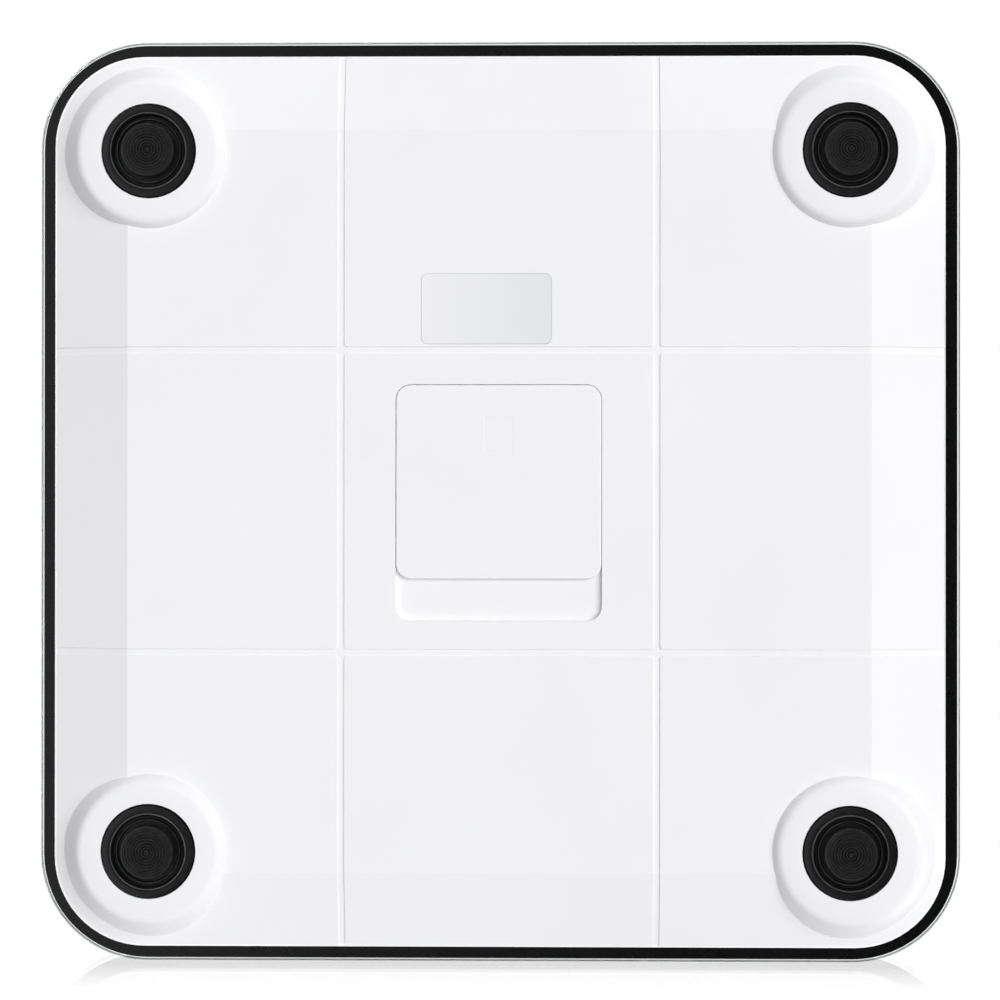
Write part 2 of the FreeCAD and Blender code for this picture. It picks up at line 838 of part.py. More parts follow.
save("glass_platform", glass_platform())
save("back_print", back_print())
save("mounting_tape", mounting_tape())
save("bottom_cover", bottom_cover())
save("battery_door", battery_door())
save("label_sticker", label_sticker())
for name, (sx, sy) in corners.items():
    save("foot_cup_" + name, foot_cup(sx, sy))
    save("foot_pad_" + name, foot_pad(sx, sy))
    save("load_cell_" + name, load_cell(sx, sy))
    save("load_bracket_" + name, load_bracket(sx, sy))
save("electrodes", Part.makeCompound([electrode(sx, sy) for sx, sy in corners.values()]))
save("electrode_terminals", Part.makeCompound([electrode_terminal(sx, sy) for sx, sy in corners.values()]))
save("display_panel", display_panel())
save("display_frame", display_frame())
save("zebra_strips", zebra_strips())
save("circuit_board", circuit_board())
save("board_parts", board_parts())
for number, (x, nub_far) in enumerate(cell_columns(), start=1):
    save("battery_" + str(number), battery(x, nub_far))
save("battery_plates", battery_plates())
save("battery_springs", Part.makeCompound([battery_spring(x, nub_far) for x, nub_far in cell_columns()]))
save("load_cell_leads", Part.makeCompound([cell_lead(sx, sy) for sx, sy in corners.values()]))
save("electrode_leads", Part.makeCompound([electrode_lead(sx, sy) for sx, sy in corners.values()]))
outer_columns = (cell_columns()[0][0], cell_columns()[-1][0])
save("battery_leads", Part.makeCompound([battery_lead(x) for x in outer_columns]))
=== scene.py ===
import math

import bmesh
import bpy
from mathutils import Matrix, Vector


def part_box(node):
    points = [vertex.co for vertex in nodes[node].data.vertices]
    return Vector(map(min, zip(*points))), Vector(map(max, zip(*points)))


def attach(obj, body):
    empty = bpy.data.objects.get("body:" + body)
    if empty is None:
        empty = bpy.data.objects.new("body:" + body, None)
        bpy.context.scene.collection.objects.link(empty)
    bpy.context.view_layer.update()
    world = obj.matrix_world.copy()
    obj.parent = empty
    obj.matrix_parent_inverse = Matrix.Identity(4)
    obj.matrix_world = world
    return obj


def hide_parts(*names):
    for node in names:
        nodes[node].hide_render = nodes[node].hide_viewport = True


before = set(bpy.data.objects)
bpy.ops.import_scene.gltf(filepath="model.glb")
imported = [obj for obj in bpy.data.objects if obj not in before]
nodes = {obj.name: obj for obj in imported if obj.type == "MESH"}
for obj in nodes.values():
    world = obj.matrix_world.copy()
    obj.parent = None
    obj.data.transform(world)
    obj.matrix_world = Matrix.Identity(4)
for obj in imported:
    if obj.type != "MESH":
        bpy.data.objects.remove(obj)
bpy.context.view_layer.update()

mm = 0.001
weld = 0.001 * mm  # vertices closer than this are one
level = 0.99  # the slant of a normal beyond which its face counts as level
arris = 0.3  # a rounded arris passes this share of its width in from both of its faces
bevelSegments = 2
corners = ["near_left", "near_right", "far_left", "far_right"]


# small tools for meshes and materials

def hexColour(code):
    channels = [int(code[i:i + 2], 16) / 255 for i in (1, 3, 5)]
    linear = [c / 12.92 if c <= 0.04045 else ((c + 0.055) / 1.055) ** 2.4 for c in channels]
    return (*linear, 1.0)


def addNode(tree, kind, settings=None, inputs=None):
    node = tree.nodes.new(kind)
    for name, value in (settings or {}).items():
        setattr(node, name, value)
    for key, value in (inputs or {}).items():
        if isinstance(value, bpy.types.NodeSocket):
            tree.links.new(value, node.inputs[key])
        else:
            node.inputs[key].default_value = value
    return node


def newMaterial(name, constants):
    material = bpy.data.materials.new(name)
    material.use_nodes = True
    tree = material.node_tree
    shader = tree.nodes["Principled BSDF"]
    for socket, value in constants.items():
        shader.inputs[socket].default_value = value
    place = addNode(tree, "ShaderNodeTexCoord").outputs["Object"]
    return material, tree, shader, place


def boxOf(node):
    low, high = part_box(node)
    return low, high, (low + high) / 2


def newPiece(name, bm, materials, body, sharpAngle):
    mesh = bpy.data.meshes.new(name)
    bm.normal_update()
    for face in bm.faces:
        face.smooth = True
    for edge in bm.edges:
        edge.smooth = edge.calc_face_angle(math.pi) < math.radians(sharpAngle)
    bm.to_mesh(mesh)
    bm.free()
    for material in materials:
        mesh.materials.append(material)
    piece = bpy.data.objects.new(name, mesh)
    bpy.context.scene.collection.objects.link(piece)
    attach(piece, body)
    return piece


def softenEdges(piece, width, angle, slot):
    rounding = piece.modifiers.new("edgeRounding", "BEVEL")
    rounding.width = width
    rounding.segments = bevelSegments
    rounding.limit_method = "ANGLE"
    rounding.angle_limit = math.radians(angle)
    rounding.harden_normals = True
    # the rounded faces take the material in this slot; both callers give it the painted edge highlight
    rounding.material = slot


def mergedCopy(node, flatAngle):
    # the node's own mesh, welded, with its flat faces joined again
    bm = bmesh.new()
    bm.from_mesh(nodes[node].data)
    bmesh.ops.remove_doubles(bm, verts=bm.verts, dist=weld)
    bmesh.ops.dissolve_limit(bm, angle_limit=math.radians(flatAngle), verts=bm.verts, edges=bm.edges)
    return bm


def roundedFace(bm, width, depth, corner, centre, z, steps):
    known = set(bm.faces)
    place = Matrix.Translation((centre[0], centre[1], z)) @ Matrix.Diagonal((width, depth, 1, 1))
    made = bmesh.ops.create_grid(bm, x_segments=1, y_segments=1, size=0.5, matrix=place)
    bmesh.ops.bevel(bm, geom=made["verts"], offset=corner, affect="VERTICES", segments=steps,
                    profile=0.5, material=-1)
    return next(face for face in bm.faces if face not in known)


def loftSlab(bm, centre, steps, outlines):
    # outlines are (width, depth, corner, z), joined in that order and closed at both ends
    faces = [roundedFace(bm, w, d, c, centre, z, steps) for w, d, c, z in outlines]
    loops = [list(face.edges) for face in faces]
    bmesh.ops.delete(bm, geom=faces[1:-1], context="FACES_ONLY")
    for first, second in zip(loops, loops[1:]):
        bmesh.ops.bridge_loops(bm, edges=first + second)
    bmesh.ops.recalc_face_normals(bm, faces=bm.faces)


def spinProfile(bm, profile, centre, axis, steps):
    # profile is (distance from the axis, place along it); the axis is Z or Y through centre
    known = set(bm.verts)
    along = Vector(axis)
    out = Vector((1, 0, 0))
    verts = [bm.verts.new(Vector(centre) + out * r + along * h) for r, h in profile]
    edges = [bm.edges.new(pair) for pair in zip(verts, verts[1:])]
    bmesh.ops.spin(bm, geom=verts + edges, cent=centre, axis=axis, angle=math.tau, steps=steps,
                   use_merge=True)
    fresh = [v for v in bm.verts if v not in known]
    bmesh.ops.remove_doubles(bm, verts=fresh, dist=weld)
    bmesh.ops.recalc_face_normals(bm, faces=bm.faces)


def addBlock(bm, low, high):
    size = Vector(high) - Vector(low)
    place = Matrix.Translation((Vector(low) + Vector(high)) / 2) @ Matrix.Diagonal((*size, 1))
    bmesh.ops.create_cube(bm, size=1, matrix=place)


def newSheet(name, place, materialName):
    # a flat part of the setting, one metre square before place, with an empty node tree
    bm = bmesh.new()
    bmesh.ops.create_grid(bm, x_segments=1, y_segments=1, size=0.5, matrix=place)
    mesh = bpy.data.meshes.new(name)
    bm.to_mesh(mesh)
    bm.free()
    material = bpy.data.materials.new(materialName)
    material.use_nodes = True
    tree = material.node_tree
    tree.nodes.clear()
    mesh.materials.append(material)
    sheet = bpy.data.objects.new(name, mesh)
    bpy.context.scene.collection.objects.link(sheet)
    return sheet, tree


def dressNode(material, *names):
    for name in names:
        for slot in nodes[name].material_slots:
            slot.material = material


print("stage: tools ready")


# materials

cloudSpan = (0.35, 0.65)  # most of a smooth noise lies between these
grainSpan = (0.3, 0.7)  # and most of a detailed one between these


def mouldedPlastic(name, look):
    # injection-moulded plastic with a spark-eroded face: an even sheen, broken up by a fine grain
    material, tree, shader, place = newMaterial(name, look["constants"])
    cloud = addNode(tree, "ShaderNodeTexNoise", None,
                    {"Vector": place, "Scale": 1 / look["cloud"], "Detail": 3.0})
    grain = addNode(tree, "ShaderNodeTexNoise", None,
                    {"Vector": place, "Scale": 1 / look["grain"], "Detail": 2.0, "Roughness": 0.6})
    tone = addNode(tree, "ShaderNodeMapRange", None,
                   {"Value": cloud.outputs["Fac"], "From Min": cloudSpan[0], "From Max": cloudSpan[1]})
    colour = addNode(tree, "ShaderNodeMix", {"data_type": "RGBA"},
                     {0: tone.outputs[0], 6: hexColour(look["deep"]), 7: hexColour(look["pale"])})
    rough = addNode(tree, "ShaderNodeMapRange", None,
                    {"Value": grain.outputs["Fac"], "From Min": grainSpan[0], "From Max": grainSpan[1],
                     "To Min": look["rough"][0], "To Max": look["rough"][1]})
    bump = addNode(tree, "ShaderNodeBump", None,
                   {"Height": grain.outputs["Fac"], "Strength": look["relief"], "Distance": look["depth"]})
    tree.links.new(colour.outputs[2], shader.inputs["Base Color"])
    tree.links.new(rough.outputs[0], shader.inputs["Roughness"])
    tree.links.new(bump.outputs[0], shader.inputs["Normal"])
    return material


# satin ABS: the cover and the door, cool white; the grain is drawn at 0.9 mm so that it shows
whiteAbs = mouldedPlastic("satinWhiteAbs", {
    "constants": {"IOR": 1.53, "Specular IOR Level": 0.35},
    "deep": "#F2F2F4", "pale": "#F4F4F6", "cloud": 60 * mm, "grain": 0.9 * mm,
    "rough": (0.42, 0.5), "relief": 0.12, "depth": 0.02 * mm,
})

# the same plastic on its rounded edges, painted paler as a highlight along them
paintedHighlightAbs = mouldedPlastic("paintedHighlightAbsEdge", {
    "constants": {"IOR": 1.53, "Specular IOR Level": 0.5},
    "deep": "#FBFBFC", "pale": "#FEFEFE", "cloud": 20 * mm, "grain": 0.9 * mm,
    "rough": (0.3, 0.36), "relief": 0.06, "depth": 0.02 * mm,
})

# glass-filled nylon of the feet: near black with a dry grey sheen
blackNylon = mouldedPlastic("blackFootNylon", {
    "constants": {"IOR": 1.53, "Specular IOR Level": 0.45},
    "deep": "#101011", "pale": "#171718", "cloud": 3 * mm, "grain": 0.6 * mm,
    "rough": (0.3, 0.52), "relief": 0.5, "depth": 0.04 * mm,
})

# the cups' lip and ring, painted paler as a highlight on them
paintedHighlightNylon = mouldedPlastic("paintedHighlightNylonRing", {
    "constants": {"IOR": 1.53, "Specular IOR Level": 0.6},
    "deep": "#48484A", "pale": "#5C5C5E", "cloud": 2 * mm, "grain": 0.3 * mm,
    "rough": (0.3, 0.42), "relief": 0.3, "depth": 0.02 * mm,
})

# nitrile rubber of the pads: darker and duller than the cups
padRubber = mouldedPlastic("nitrilePadRubber", {
    "constants": {"IOR": 1.52, "Specular IOR Level": 0.4},
    "deep": "#1A1A1A", "pale": "#242424", "cloud": 2 * mm, "grain": 0.4 * mm,
    "rough": (0.5, 0.7), "relief": 0.4, "depth": 0.03 * mm,
})

# polycarbonate of the brackets and the display frame: plain mid grey
greyPolycarbonate = mouldedPlastic("greyPolycarbonate", {
    "constants": {"IOR": 1.58},
    "deep": "#58585B", "pale": "#606063", "cloud": 12 * mm, "grain": 0.6 * mm,
    "rough": (0.38, 0.5), "relief": 0.2, "depth": 0.02 * mm,
})


scratchDepth = 0.01 * mm
rollerWave = {"pitch": 45 * mm, "depth": 0.05 * mm, "strength": 0.05}


def brushedMetal(name, look):
    # rolled sheet brushed one way: long fine scratches that stretch the highlights across them
    material, tree, shader, place = newMaterial(name, {"Metallic": 1.0})
    along, across = 1 / look["length"], 1 / look["width"]
    stretch = addNode(tree, "ShaderNodeMapping", None,
                      {"Vector": place, "Scale": (along, across, across)})
    lines = addNode(tree, "ShaderNodeTexNoise", None,
                    {"Vector": stretch.outputs[0], "Scale": 1.0, "Detail": 4.0, "Roughness": 0.65})
    colour = addNode(tree, "ShaderNodeMix", {"data_type": "RGBA"},
                     {0: lines.outputs["Fac"], 6: hexColour(look["deep"]), 7: hexColour(look["pale"])})
    rough = addNode(tree, "ShaderNodeMapRange", None,
                    {"Value": lines.outputs["Fac"], "From Min": grainSpan[0], "From Max": grainSpan[1],
                     "To Min": look["rough"][0], "To Max": look["rough"][1]})
    bump = addNode(tree, "ShaderNodeBump", None,
                   {"Height": lines.outputs["Fac"], "Strength": look["relief"],
                    "Distance": scratchDepth})
    tree.links.new(colour.outputs[2], shader.inputs["Base Color"])
    tree.links.new(rough.outputs[0], shader.inputs["Roughness"])
    tree.links.new(bump.outputs[0], shader.inputs["Normal"])
    return material


# 304 stainless sheet, brushed along its length; the 0.1 mm scratches are drawn 0.5 mm apart
stainless = brushedMetal("brushedStainless", {
    "length": 30 * mm, "width": 0.5 * mm, "deep": "#B4B5B6", "pale": "#D2D3D4",
    "rough": (0.24, 0.36), "relief": 0.25,
})

# cold-rolled spring steel of the load cells, greyer and duller
springSteel = brushedMetal("rolledSpringSteel", {
    "length": 8 * mm, "width": 0.6 * mm, "deep": "#8E9092", "pale": "#A6A8AA",
    "rough": (0.34, 0.48), "relief": 0.3,
})

# nickel plate on the battery contacts: bright, a little warm
nickel = brushedMetal("nickelPlate", {
    "length": 2 * mm, "width": 1.5 * mm, "deep": "#BDB8AC", "pale": "#D6D2C8",
    "rough": (0.18, 0.28), "relief": 0.1,
})

# tinned brass of the electrode terminals: yellow metal with a dull skin
tinnedBrass = brushedMetal("tinnedBrass", {
    "length": 3 * mm, "width": 0.8 * mm, "deep": "#B79F63", "pale": "#D2C08A",
    "rough": (0.3, 0.42), "relief": 0.2,
})


def floatGlass(name, look):
    # toughened soda-lime float glass: clear, faintly green, with a slow roller wave
    material, tree, shader, place = newMaterial(name, {
        "IOR": 1.52, "Transmission Weight": look["clear"], "Roughness": look["rough"]})
    wave = addNode(tree, "ShaderNodeTexNoise", None, {"Vector": place, "Scale": 1 / rollerWave["pitch"]})
    tint = addNode(tree, "ShaderNodeMix", {"data_type": "RGBA"},
                   {0: wave.outputs["Fac"], 6: hexColour(look["deep"]), 7: hexColour(look["pale"])})
    bump = addNode(tree, "ShaderNodeBump", None,
                   {"Height": wave.outputs["Fac"], "Strength": rollerWave["strength"],
                    "Distance": rollerWave["depth"]})
    tree.links.new(tint.outputs[2], shader.inputs["Base Color"])
    tree.links.new(bump.outputs[0], shader.inputs["Normal"])
    return material


enamel = {"pinholePitch": 2.5 * mm, "pinhole": (0.03, 0.09), "wavePitch": 9 * mm, "rough": (0.22, 0.34),
          "deep": "#090909", "pale": "#1C1C1C"}


def ceramicEnamel(name, gloss):
    # ceramic frit fired on the glass: dense black with a half-gloss and scattered pinholes
    material, tree, shader, place = newMaterial(name, {"IOR": 1.52, "Specular IOR Level": gloss})
    pits = addNode(tree, "ShaderNodeTexVoronoi", None,
                   {"Vector": place, "Scale": 1 / enamel["pinholePitch"]})
    pin = addNode(tree, "ShaderNodeMapRange", None,
                  {"Value": pits.outputs["Distance"], "From Min": enamel["pinhole"][0],
                   "From Max": enamel["pinhole"][1], "To Min": 1.0, "To Max": 0.0})
    wave = addNode(tree, "ShaderNodeTexNoise", None,
                   {"Vector": place, "Scale": 1 / enamel["wavePitch"], "Detail": 4.0})
    colour = addNode(tree, "ShaderNodeMix", {"data_type": "RGBA"},
                     {0: pin.outputs[0], 6: hexColour(enamel["deep"]), 7: hexColour(enamel["pale"])})
    rough = addNode(tree, "ShaderNodeMapRange", None,
                    {"Value": wave.outputs["Fac"], "To Min": enamel["rough"][0],
                     "To Max": enamel["rough"][1]})
    tree.links.new(colour.outputs[2], shader.inputs["Base Color"])
    tree.links.new(rough.outputs[0], shader.inputs["Roughness"])
    return material


film = {"metallic": 0.04, "reflectionRampPerMetre": 24, "dustPitch": 0.8 * mm, "rough": (0.34, 0.46)}


def silverFilm(name, deep, pale):
    # metallised polyester label: pale silver with a painted reflection that darkens it towards one side
    middle = boxOf("label_sticker")[2]
    material, tree, shader, place = newMaterial(name, {"Metallic": film["metallic"]})
    rate = film["reflectionRampPerMetre"]
    # the base colour darkens across X as a painted reflection
    centred = addNode(tree, "ShaderNodeMapping", None,
                      {"Vector": place, "Location": (-middle.x * rate + 0.5, 0, 0), "Scale": (rate, 0, 0)})
    reflectionRamp = addNode(tree, "ShaderNodeSeparateXYZ", None, {0: centred.outputs[0]})
    dust = addNode(tree, "ShaderNodeTexNoise", None,
                   {"Vector": place, "Scale": 1 / film["dustPitch"], "Detail": 2.0})
    colour = addNode(tree, "ShaderNodeMix", {"data_type": "RGBA"},
                     {0: reflectionRamp.outputs["X"], 6: hexColour(deep), 7: hexColour(pale)})
    rough = addNode(tree, "ShaderNodeMapRange", None,
                    {"Value": dust.outputs["Fac"], "To Min": film["rough"][0], "To Max": film["rough"][1]})
    tree.links.new(colour.outputs[2], shader.inputs["Base Color"])
    tree.links.new(rough.outputs[0], shader.inputs["Roughness"])
    return material


def foamTape():
    # closed-cell foam tape: soft black with open cells along its cut edge
    material, tree, shader, place = newMaterial("blackFoamTape", {"IOR": 1.45, "Specular IOR Level": 0.3})
    cells = addNode(tree, "ShaderNodeTexVoronoi", None, {"Vector": place, "Scale": 1 / (0.4 * mm)})
    colour = addNode(tree, "ShaderNodeMix", {"data_type": "RGBA"},
                     {0: cells.outputs["Distance"], 6: hexColour("#0F0F0F"), 7: hexColour("#2A2A2A")})
    bump = addNode(tree, "ShaderNodeBump", None,
                   {"Height": cells.outputs["Distance"], "Strength": 0.6, "Distance": 0.1 * mm})
    tree.links.new(colour.outputs[2], shader.inputs["Base Color"])
    tree.links.new(bump.outputs[0], shader.inputs["Normal"])
    shader.inputs["Roughness"].default_value = 0.9
    return material


glassClear = floatGlass("toughenedFloatGlass", {
    "clear": 1.0, "deep": "#F8FCFA", "pale": "#FCFEFD", "rough": 0.0,
})
# the same glass where its edge is ground: frosted, pale and a little green to look at
glassGround = floatGlass("groundGlassEdge", {
    "clear": 0.45, "deep": "#DDE5E1", "pale": "#E8EEEB", "rough": 0.5,
})
enamelBlack = ceramicEnamel("firedBlackEnamel", 0.5)
# the side that is fused to the glass has no gloss of its own
enamelFused = ceramicEnamel("fusedBlackEnamel", 0.0)
labelSilver = silverFilm("metallisedPolyester", "#E7E8EA", "#F2F2F4")
# the film's die-cut edge, where the silver shows grey
labelEdge = silverFilm("cutFilmEdge", "#B9BBBE", "#CFD0D2")
tapeFoam = foamTape()
print("stage: main materials made")


# the camera, below the scale and a little off its middle

camera = {
    "place": (-0.01821, -0.00247, -0.93445),
    "turn": (-179.82323, -1.08187, 179.95767),
    "lens": 105.456,
    "sensor": 36.0,
}
cameraData = bpy.data.cameras.new("studioCamera")
cameraData.lens = camera["lens"]
cameraData.sensor_width = camera["sensor"]
cameraObject = bpy.data.objects.new("studioCamera", cameraData)
cameraObject.location = camera["place"]
cameraObject.rotation_euler = [math.radians(a) for a in camera["turn"]]
bpy.context.scene.collection.objects.link(cameraObject)
bpy.context.scene.camera = cameraObject


# bottom cover: the moulded tray, with its edges rounded as the mould leaves them and the rounds painted
# paler as a highlight

cover = {"flat": 0.2, "sharp": 13, "rounding": 0.3 * mm, "roundedAbove": 28, "corner": 29.25 * mm,
         "rimSlope": 0.305, "beadTilt": (-0.7, -0.5), "beadWithin": 1 * mm, "beadOuter": 0.1 * mm,
         "beadShift": 0.25, "beadDrop": 0.98 * mm}


def makeCover():
    # the outermost bevel becomes a narrow bead that looks straight down, as a moulded lip does, painted
    # paler as a highlight
    bm = mergedCopy("bottom_cover", cover["flat"])
    high, middle = boxOf("bottom_cover")[1:]
    arc = high.x - middle.x - cover["corner"]

    def outwards(point):
        return Vector([math.copysign(max(abs(p - m) - arc, 0), p - m)
                       for p, m in zip(point[:2], middle[:2])])

    bm.normal_update()
    steepest, flattest = cover["beadTilt"]
    bead = [f for f in bm.faces if steepest < f.normal.z < flattest
            and outwards(f.calc_center_median()).length > cover["corner"] - cover["beadWithin"]]
    for vert in {v for f in bead for v in f.verts}:
        away = outwards(vert.co)
        inset = cover["corner"] - away.length
        if inset < cover["beadOuter"]:
            vert.co.z -= cover["beadDrop"]
        else:
            shift = inset * cover["beadShift"]
            vert.co += Vector((*(away.normalized() * shift), shift * cover["rimSlope"]))
    # the bead takes the pale material of the painted highlight
    for face in bead:
        face.material_index = 1
    print("stage: bead of", len(bead), "faces")
    return bm


coverShell = newPiece("coverShell", makeCover(), [whiteAbs, paintedHighlightAbs], "housing", cover["sharp"])
softenEdges(coverShell, cover["rounding"], cover["roundedAbove"], 1)
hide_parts("bottom_cover")
print("stage: cover made,", len(coverShell.data.polygons), "faces")


# battery door: sliding plate with its four hooks and a faint thumb mark

door = {"flat": 0.2, "sharp": 20, "roundedAbove": 40, "smoothBelow": 0.97, "faceWithin": 0.01 * mm,
        "cutWithin": 0.0001 * mm, "rounding": 0.15 * mm, "markWidth": 9.6 * mm, "markLength": 11.9 * mm,
        "markShift": 14.75 * mm, "markDepth": 0.06 * mm, "markEdge": 0.3 * mm, "grow": 0.13 * mm}


def makeDoor():
    low, high, middle = boxOf("battery_door")
    bm = mergedCopy("battery_door", door["flat"])
    markY = middle.y + door["markShift"]
    halfX = door["markWidth"] / 2
    halfY = door["markLength"] / 2
    outerBelow = low.z + door["faceWithin"]
    for point, normal in (((-halfX, 0, 0), (1, 0, 0)), ((halfX, 0, 0), (1, 0, 0)),
                          ((0, markY - halfY, 0), (0, 1, 0)), ((0, markY + halfY, 0), (0, 1, 0))):
        outside = [f for f in bm.faces if f.calc_center_median().z < outerBelow]
        edges = list({e for f in outside for e in f.edges})
        verts = list({v for f in outside for v in f.verts})
        bmesh.ops.bisect_plane(bm, geom=outside + edges + verts, dist=door["cutWithin"], plane_co=point,
                               plane_no=normal)
    mark = [f for f in bm.faces if f.calc_center_median().z < outerBelow
            and abs(f.calc_center_median().x) < halfX and abs(f.calc_center_median().y - markY) < halfY]
    bmesh.ops.inset_region(bm, faces=mark, thickness=door["markEdge"], depth=0, use_even_offset=True)
    for vert in {v for f in mark for v in f.verts}:
        vert.co.z += door["markDepth"]
    growth = 1 + 2 * door["grow"] / (high.x - low.x)
    bmesh.ops.scale(bm, vec=(growth, growth, 1), space=Matrix.Translation(-middle), verts=bm.verts)
    return bm


doorPanel = newPiece("doorPanel", makeDoor(), [whiteAbs, paintedHighlightAbs], "battery_door", door["sharp"])
for face in doorPanel.data.polygons:
    face.use_smooth = abs(face.normal.z) < door["smoothBelow"]
# the door's rounded edges take the same painted highlight
softenEdges(doorPanel, door["rounding"], door["roundedAbove"], 1)
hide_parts("battery_door")
print("stage: door made")


# glass plate: ground edge, and the back left clear outside the print and in the display window

glass = {"cornerSteps": 32, "groundEdge": 0.13 * mm, "corner": 35 * mm, "intoPrint": 0.02 * mm, "sharp": 25}
enamelSheet = {"flat": 0.2, "sharp": 25, "fusedAbove": 0.9}


def makeGlass():
    low, high, middle = boxOf("glass_platform")
    side = high.x - low.x
    edge = glass["groundEdge"]
    bottom = low.z - glass["intoPrint"]  # no air between the glass and its print
    corner = glass["corner"]
    inner = side - 2 * edge
    between = side - 2 * arris * edge
    bm = bmesh.new()
    loftSlab(bm, middle, glass["cornerSteps"], [
        (inner, inner, corner - edge, bottom),
        (between, between, corner - arris * edge, low.z + arris * edge),
        (side, side, corner, low.z + edge),
        (side, side, corner, high.z - edge),
        (between, between, corner - arris * edge, high.z - arris * edge),
        (inner, inner, corner - edge, high.z),
    ])
    for face in bm.faces:
        face.material_index = int(abs(face.normal.z) < level)
    return bm


glassPlate = newPiece("glassPlate", makeGlass(), [glassClear, glassGround], "housing", glass["sharp"])
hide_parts("glass_platform")

printMesh = mergedCopy("back_print", enamelSheet["flat"])
for face in printMesh.faces:
    face.material_index = int(face.normal.z > enamelSheet["fusedAbove"])
printLayer = newPiece("printLayer", printMesh, [enamelBlack, enamelFused], "housing", enamelSheet["sharp"])
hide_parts("back_print")
dressNode(tapeFoam, "mounting_tape")
print("stage: glass made")


# feet: a turned cup with a lip ring and a moat, catches and a post, and a ringed rubber pad

cup = {
    "steps": 96, "sharp": 32,
    # radius and height in mm, from the pad's seat outwards; the flange is at 3.2
    "profile": [(0, 4.75), (8.55, 4.75), (8.65, 5.6), (9.7, 5.6), (10.05, 4.05), (10.25, 3.85), (10.55, 4.2),
                (10.65, 5.2), (11.2, 5.2), (11.35, 3.7), (11.5, 3.5), (11.7, 3.75), (11.8, 3.75),
                (11.92, 2.8), (12.02, 2.66), (12.12, 2.66), (12.34, 3.1), (12.6, 3.34), (12.8, 3.34),
                (12.9, 3.2), (14.4, 3.2), (14.53, 3.26), (14.6, 3.42), (14.62, 5.2), (15.0, 5.35),
                (15.0, 7.5), (0, 7.5)],
    "highlightRadii": [(10.06, 10.3), (11.95, 12.3)],  # radii, in mm, between which the ring and the lip carry the painted highlight
    "catchWidth": 8 * mm, "catchInner": 13 * mm, "catchRadius": 17 * mm,
    "catchLow": 6.3 * mm, "catchHigh": 7.5 * mm,
    "postSide": 6 * mm,
}
pad = {
    "steps": 96, "sharp": 50,
    # crests of the rings from the middle out; the valleys between them grow shallower
    "first": 0.6 * mm, "pitch": 0.95 * mm, "rings": 8, "ridge": 0.17 * mm,
    "valleyInner": 0.8 * mm, "valleyOuter": 0.15 * mm, "edgeRound": 0.7 * mm,
    "rim": [(1, 0), (0.6, 0.1), (0.25, 0.35), (0.06, 0.7), (0, 1.2)],  # inset and height, in edge rounds
}


def makeCup(corner):
    high, middle = boxOf("foot_cup_" + corner)[1:]
    bm = bmesh.new()
    spinProfile(bm, [(r * mm, z * mm) for r, z in cup["profile"]], (middle.x, middle.y, 0), (0, 0, 1),
                cup["steps"])
    for face in bm.faces:
        away = (face.calc_center_median() - middle).to_2d().length / mm
        outside = face.calc_center_median().z < cup["catchLow"]
        # faces on the lip and the ring get the pale material of the painted highlight
        face.material_index = int(outside and any(a < away < b for a, b in cup["highlightRadii"]))
    half = cup["catchWidth"] / 2
    reach = cup["catchRadius"]
    inner = cup["catchInner"]
    for sideX, sideY in ((1, 0), (-1, 0), (0, 1), (0, -1)):
        ends = [middle + Vector((sideX * inner + sideY * half, sideY * inner + sideX * half, 0)),
                middle + Vector((sideX * reach - sideY * half, sideY * reach - sideX * half, 0))]
        addBlock(bm, (min(p.x for p in ends), min(p.y for p in ends), cup["catchLow"]),
                 (max(p.x for p in ends), max(p.y for p in ends), cup["catchHigh"]))
    post = cup["postSide"] / 2
    addBlock(bm, (middle.x - post, middle.y - post, cup["catchHigh"]),
             (middle.x + post, middle.y + post, high.z))
    return bm


def makePad(corner):
    low, high, middle = boxOf("foot_pad_" + corner)
    radius = (high.x - low.x) / 2
    ridge = pad["ridge"]
    valley = pad["valleyInner"]
    fall = (pad["valleyInner"] - pad["valleyOuter"]) / pad["rings"]
    # a dimple in the middle, then flat crests and flat valleys, then the rounded rim
    profile = [(0, 0.5 * valley), (0.5 * ridge, 0.4 * valley), (pad["first"] - ridge, 0)]
    for ring in range(pad["rings"]):
        crest = pad["first"] + ring * pad["pitch"]
        profile += [(crest + ridge, 0), (crest + 0.4 * pad["pitch"], valley),
                    (crest + 0.6 * pad["pitch"], valley), (crest + pad["pitch"] - ridge, 0)]
        valley -= fall
    turn = pad["edgeRound"]
    profile = [(r, z) for r, z in profile if r < radius - turn]
    profile += [(radius - inset * turn, height * turn) for inset, height in pad["rim"]]
    profile += [(radius, high.z), (0, high.z)]
    bm = bmesh.new()
    spinProfile(bm, profile, (middle.x, middle.y, 0), (0, 0, 1), pad["steps"])
    return bm


for corner in corners:
    footCup = newPiece("footCup_" + corner, makeCup(corner), [blackNylon, paintedHighlightNylon], "foot_" + corner,
                       cup["sharp"])
    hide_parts("foot_cup_" + corner)
    footPad = newPiece("footPad_" + corner, makePad(corner), [padRubber], "foot_" + corner, pad["sharp"])
    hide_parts("foot_pad_" + corner)
print("stage: feet made")


# label: bare silver film with a die-cut edge

label = {"corner": 2.2 * mm, "edge": 0.06 * mm, "cut": 0.22 * mm, "steps": 10, "sharp": 10}


def makeLabel():
    low, high, middle = boxOf("label_sticker")
    width = high.x - low.x
    depth = high.y - low.y
    edge = label["edge"]
    cut = label["cut"]
    bm = bmesh.new()
    loftSlab(bm, middle, label["steps"], [
        (width - 2 * cut, depth - 2 * cut, label["corner"] - cut, low.z),
        (width, depth, label["corner"], low.z + edge),
        (width, depth, label["corner"], high.z),
    ])
    for face in bm.faces:
        face.material_index = 0 if face.normal.z < -level else 1
    return bm


